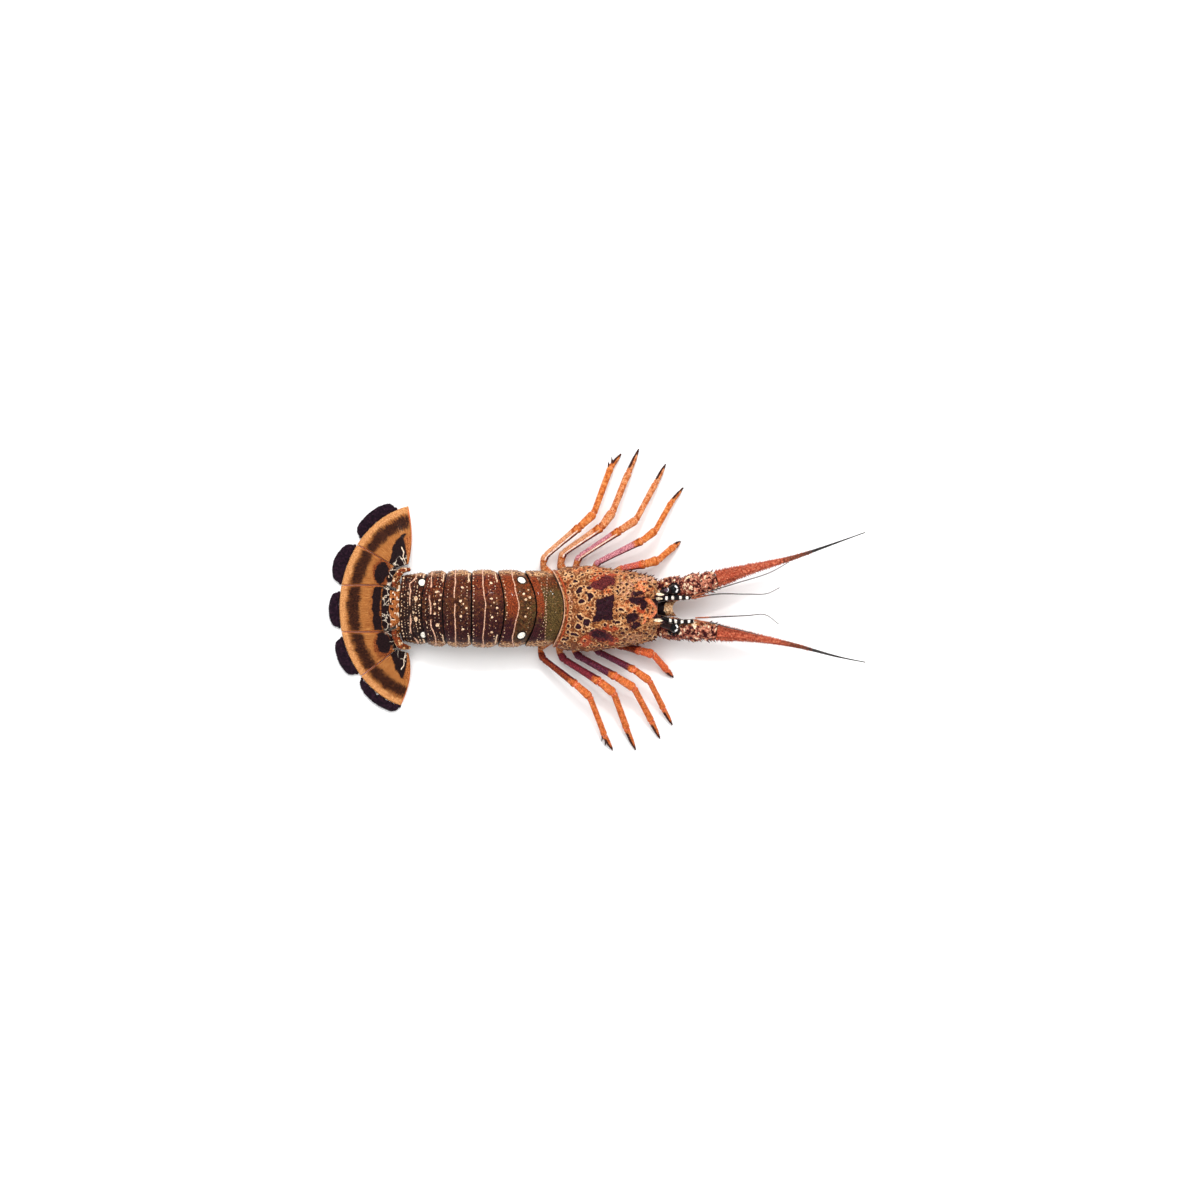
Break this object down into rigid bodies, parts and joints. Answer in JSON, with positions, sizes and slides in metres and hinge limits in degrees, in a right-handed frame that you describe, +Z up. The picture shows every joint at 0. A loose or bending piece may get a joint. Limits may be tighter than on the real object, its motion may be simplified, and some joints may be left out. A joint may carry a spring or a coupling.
{
  "type": "raw spiny lobster",
  "caption": "Whole raw spiny lobster lying belly down, with spread legs, ringed tail, banded tail fan and long tapering antennae.",
  "frame": {"origin": "on the flat of the belly plate, on the body's midline, half way along the whole length", "axes": "+X towards the head, +Y towards the animal's left side, +Z up"},
  "size_m": [0.4562, 0.2574, 0.054],
  "materials": {
    "carapace_shell": "orange-tan shell with purple-black patches, satin gloss",
    "tail_shell": "olive to dark purple-brown shell with pale dots, semi-gloss",
    "fan_blade": "banded tan and brown, finely ribbed, satin",
    "bristle_pad": "matted dark purple bristles, matt",
    "leg_shell": "orange, lilac near the body, satin",
    "belly_skin": "pale tan skin and soft shell, satin",
    "antenna_joint": "pinkish tan with maroon spots, satin",
    "antenna_whip": "coral red to dark grey at the tip, satin",
    "antennule": "dark with pale dots, satin",
    "eye_black": "glossy black"
  },
  "bodies": {
    "root": {"carapace": "carapace_shell", "belly_plate": "belly_skin", "snout_plate": "antenna_joint", "tail_ring_1": "tail_shell", "tail_ring_2": "tail_shell", "tail_ring_3": "tail_shell", "tail_ring_4": "tail_shell", "tail_ring_5": "tail_shell", "tail_ring_6": "tail_shell", "telson": "fan_blade", "fringe_outer_left": "bristle_pad", "fringe_inner_left": "bristle_pad", "fringe_telson": "bristle_pad", "fringe_inner_right": "bristle_pad", "fringe_outer_right": "bristle_pad", "fan_knuckle_left": "tail_shell", "fan_inner_left": "fan_blade", "fan_outer_left": "fan_blade", "leg_left_1": "leg_shell", "leg_left_2": "leg_shell", "leg_left_3": "leg_shell", "leg_left_4": "leg_shell", "leg_left_5": "leg_shell", "antenna_base_left": "antenna_joint", "antenna_middle_left": "antenna_joint", "antenna_outer_left": "antenna_joint", "antenna_whip_left": "antenna_whip", "antennule_stalk_left": "antennule", "antennule_inner_left": "antennule", "antennule_outer_left": "antennule", "eye_left": "eye_black", "mouth_leg_left": "leg_shell", "fan_knuckle_right": "tail_shell", "fan_inner_right": "fan_blade", "fan_outer_right": "fan_blade", "leg_right_1": "leg_shell", "leg_right_2": "leg_shell", "leg_right_3": "leg_shell", "leg_right_4": "leg_shell", "leg_right_5": "leg_shell", "antenna_base_right": "antenna_joint", "antenna_middle_right": "antenna_joint", "antenna_outer_right": "antenna_joint", "antenna_whip_right": "antenna_whip", "antennule_stalk_right": "antennule", "antennule_inner_right": "antennule", "antennule_outer_right": "antennule", "eye_right": "eye_black", "mouth_leg_right": "leg_shell"}
  },
  "joints": []
}
